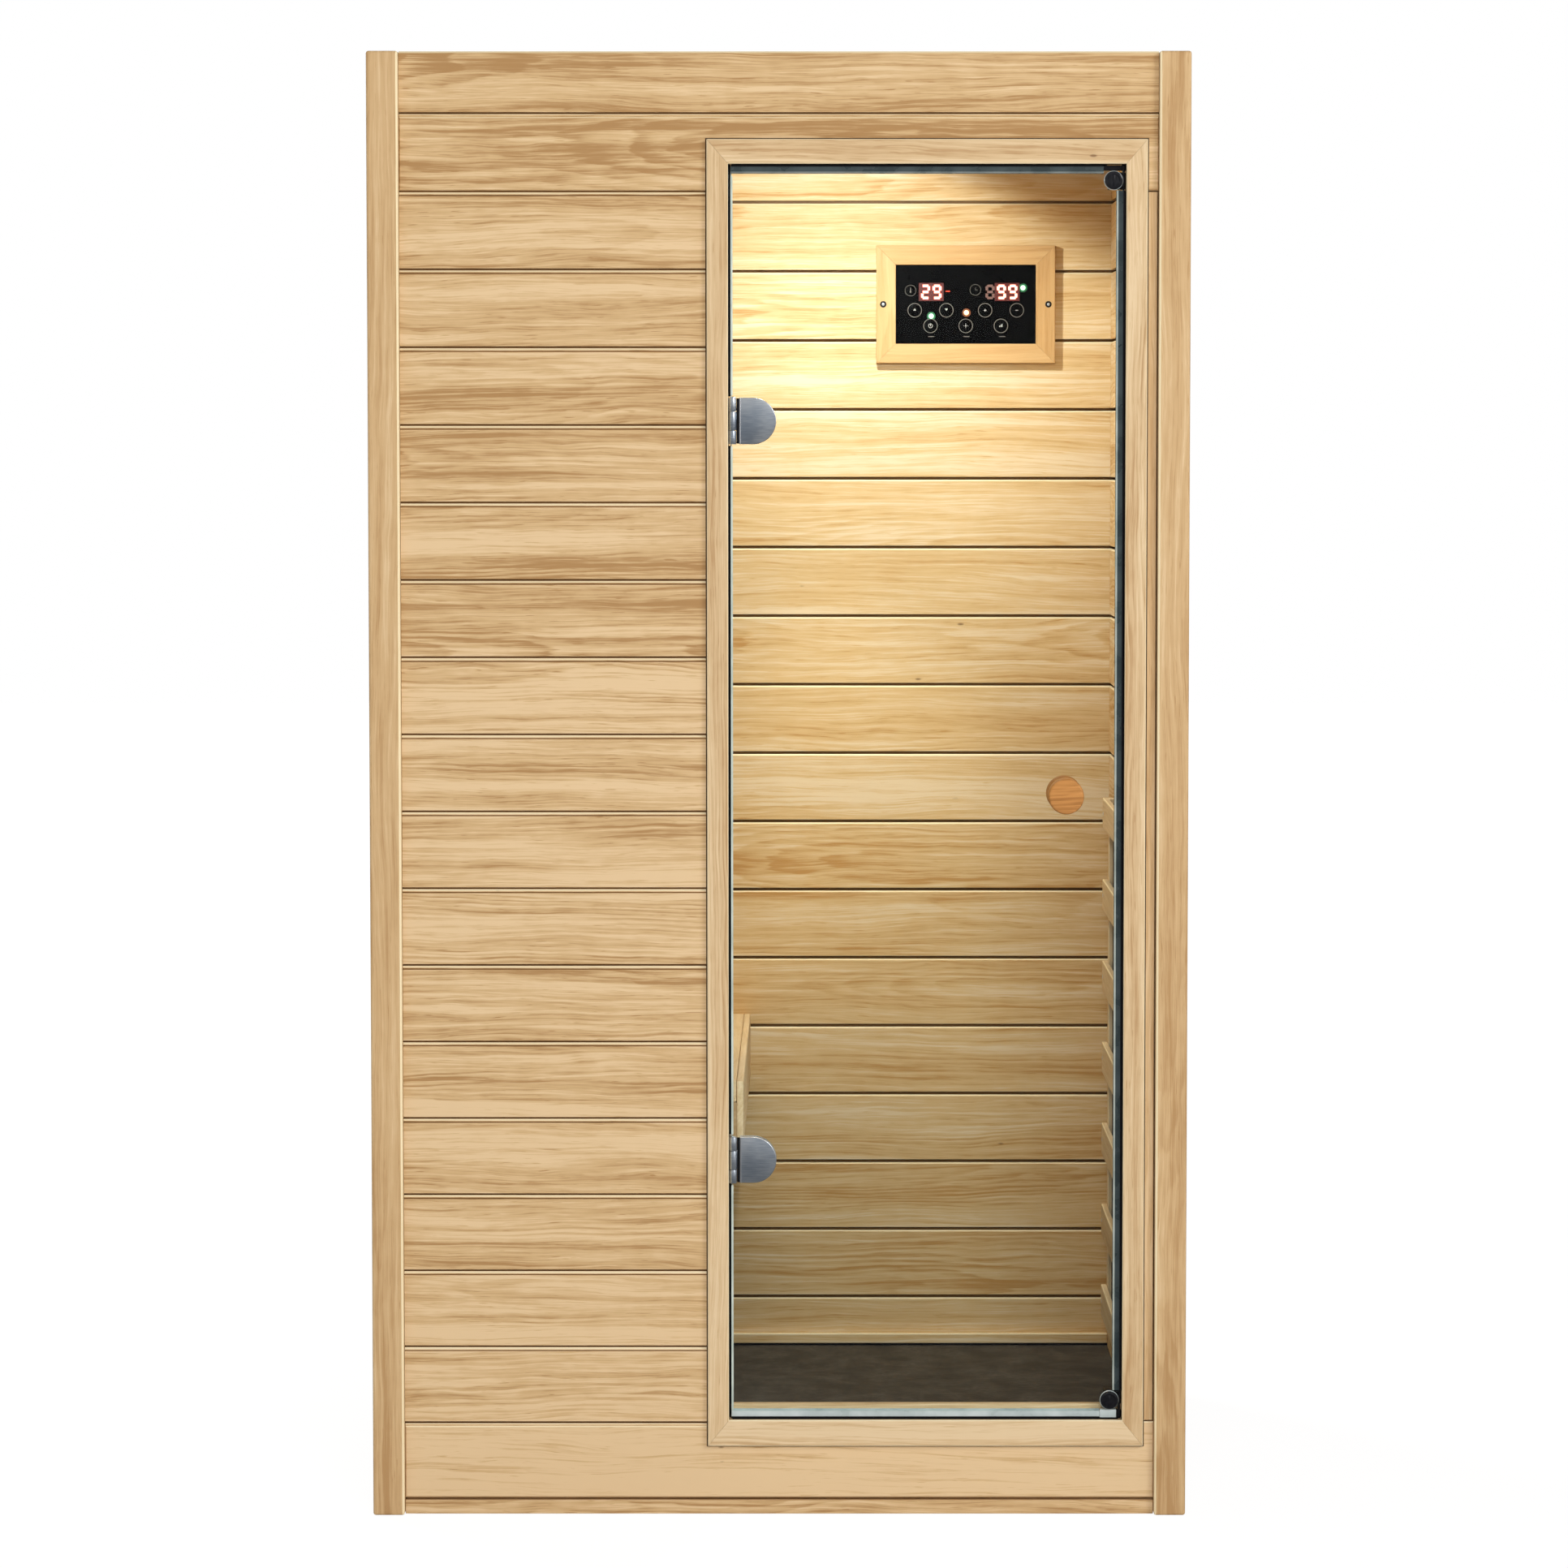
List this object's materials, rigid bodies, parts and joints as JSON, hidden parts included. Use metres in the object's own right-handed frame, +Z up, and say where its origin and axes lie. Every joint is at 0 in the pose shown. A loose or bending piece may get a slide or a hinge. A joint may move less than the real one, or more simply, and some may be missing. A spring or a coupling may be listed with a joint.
{
  "type": "infrared sauna cabin",
  "caption": "Upright timber sauna cabin with boarded walls, a swinging clear glass door, a slatted bench, wall heaters behind guards, and a keyed control panel.",
  "frame": {"origin": "on the floor, under the middle of the box that the closed cabin and its outer knob fill", "axes": "+Z up; the door faces -Y; +X to the right of someone who faces the door"},
  "size_m": [1.06, 0.9204, 1.9],
  "materials": {
    "outer_boards": "planed, matt",
    "posts": "planed, matt",
    "casing": "planed, matt",
    "inner_boards": "planed, matt",
    "framing": "sawn",
    "bench": "planed, matt",
    "control_bezel": "planed, satin",
    "knob": "turned, oiled",
    "floor_mat": "grained",
    "heater": "matt laminate",
    "control_face": "gloss",
    "control_key": "satin",
    "door_glass": "clear",
    "clear_seal": "clear, flexible",
    "satin_steel": "satin",
    "black_plastic": "satin",
    "lamp_lens": "opal, lit",
    "power_box": "satin"
  },
  "bodies": {
    "cabin": {"front_outer_boards": "outer_boards", "left_wall_panel": "outer_boards", "right_wall_panel": "outer_boards", "rear_wall_panel": "outer_boards", "left_front_post": "posts", "right_front_post": "posts", "front_filler_strip": "posts", "casing_head": "casing", "casing_sill": "casing", "casing_left": "casing", "casing_right": "casing", "door_frame": "casing", "left_inner_boards": "inner_boards", "right_inner_boards": "inner_boards", "rear_inner_boards": "inner_boards", "front_inner_boards": "inner_boards", "ceiling_panel": "inner_boards", "rear_skirting": "inner_boards", "front_frame": "framing", "floor_base": "framing", "roof_cover": "framing", "bench_seat": "bench", "bench_frame": "bench", "right_heater_guard": "bench", "back_heater_guard": "bench", "control_bezel": "control_bezel", "floor_mat": "floor_mat", "right_heater": "heater", "back_heater": "heater", "control_unit": "control_face", "upper_hinge_jamb_leaf": "satin_steel", "upper_hinge_pin": "satin_steel", "lower_hinge_jamb_leaf": "satin_steel", "lower_hinge_pin": "satin_steel", "lamp_bezel": "satin_steel", "top_magnet": "black_plastic", "bottom_magnet": "black_plastic", "cord_gland": "black_plastic", "lamp_lens": "lamp_lens", "power_box": "power_box"},
    "door": {"door_glass": "door_glass", "seal_top": "clear_seal", "seal_side": "clear_seal", "seal_bottom": "clear_seal", "outer_knob": "knob", "inner_knob": "knob", "knob_bolt": "satin_steel", "upper_hinge_front_plate": "satin_steel", "upper_hinge_back_plate": "satin_steel", "lower_hinge_front_plate": "satin_steel", "lower_hinge_back_plate": "satin_steel", "top_striker": "black_plastic", "bottom_striker": "black_plastic"},
    "key_1": {"control_key_1": "control_key"},
    "key_2": {"control_key_2": "control_key"},
    "key_3": {"control_key_3": "control_key"},
    "key_4": {"control_key_4": "control_key"},
    "key_5": {"control_key_5": "control_key"},
    "key_6": {"control_key_6": "control_key"},
    "key_7": {"control_key_7": "control_key"}
  },
  "joints": [
    {"name": "door_swing", "type": "hinge", "parent": "cabin", "child": "door", "pos_m": [-0.0597, -0.43185, 0.946], "axis": [0, 0, -1], "range_deg": [0, 110]},
    {"name": "key_1_press", "type": "slide", "parent": "cabin", "child": "key_1", "axis": [0, 1, 0], "range_m": [0, 0.0006], "stiffness_N_per_m": 400},
    {"name": "key_2_press", "type": "slide", "parent": "cabin", "child": "key_2", "axis": [0, 1, 0], "range_m": [0, 0.0006], "stiffness_N_per_m": 400},
    {"name": "key_3_press", "type": "slide", "parent": "cabin", "child": "key_3", "axis": [0, 1, 0], "range_m": [0, 0.0006], "stiffness_N_per_m": 400},
    {"name": "key_4_press", "type": "slide", "parent": "cabin", "child": "key_4", "axis": [0, 1, 0], "range_m": [0, 0.0006], "stiffness_N_per_m": 400},
    {"name": "key_5_press", "type": "slide", "parent": "cabin", "child": "key_5", "axis": [0, 1, 0], "range_m": [0, 0.0006], "stiffness_N_per_m": 400},
    {"name": "key_6_press", "type": "slide", "parent": "cabin", "child": "key_6", "axis": [0, 1, 0], "range_m": [0, 0.0006], "stiffness_N_per_m": 400},
    {"name": "key_7_press", "type": "slide", "parent": "cabin", "child": "key_7", "axis": [0, 1, 0], "range_m": [0, 0.0006], "stiffness_N_per_m": 400}
  ]
}
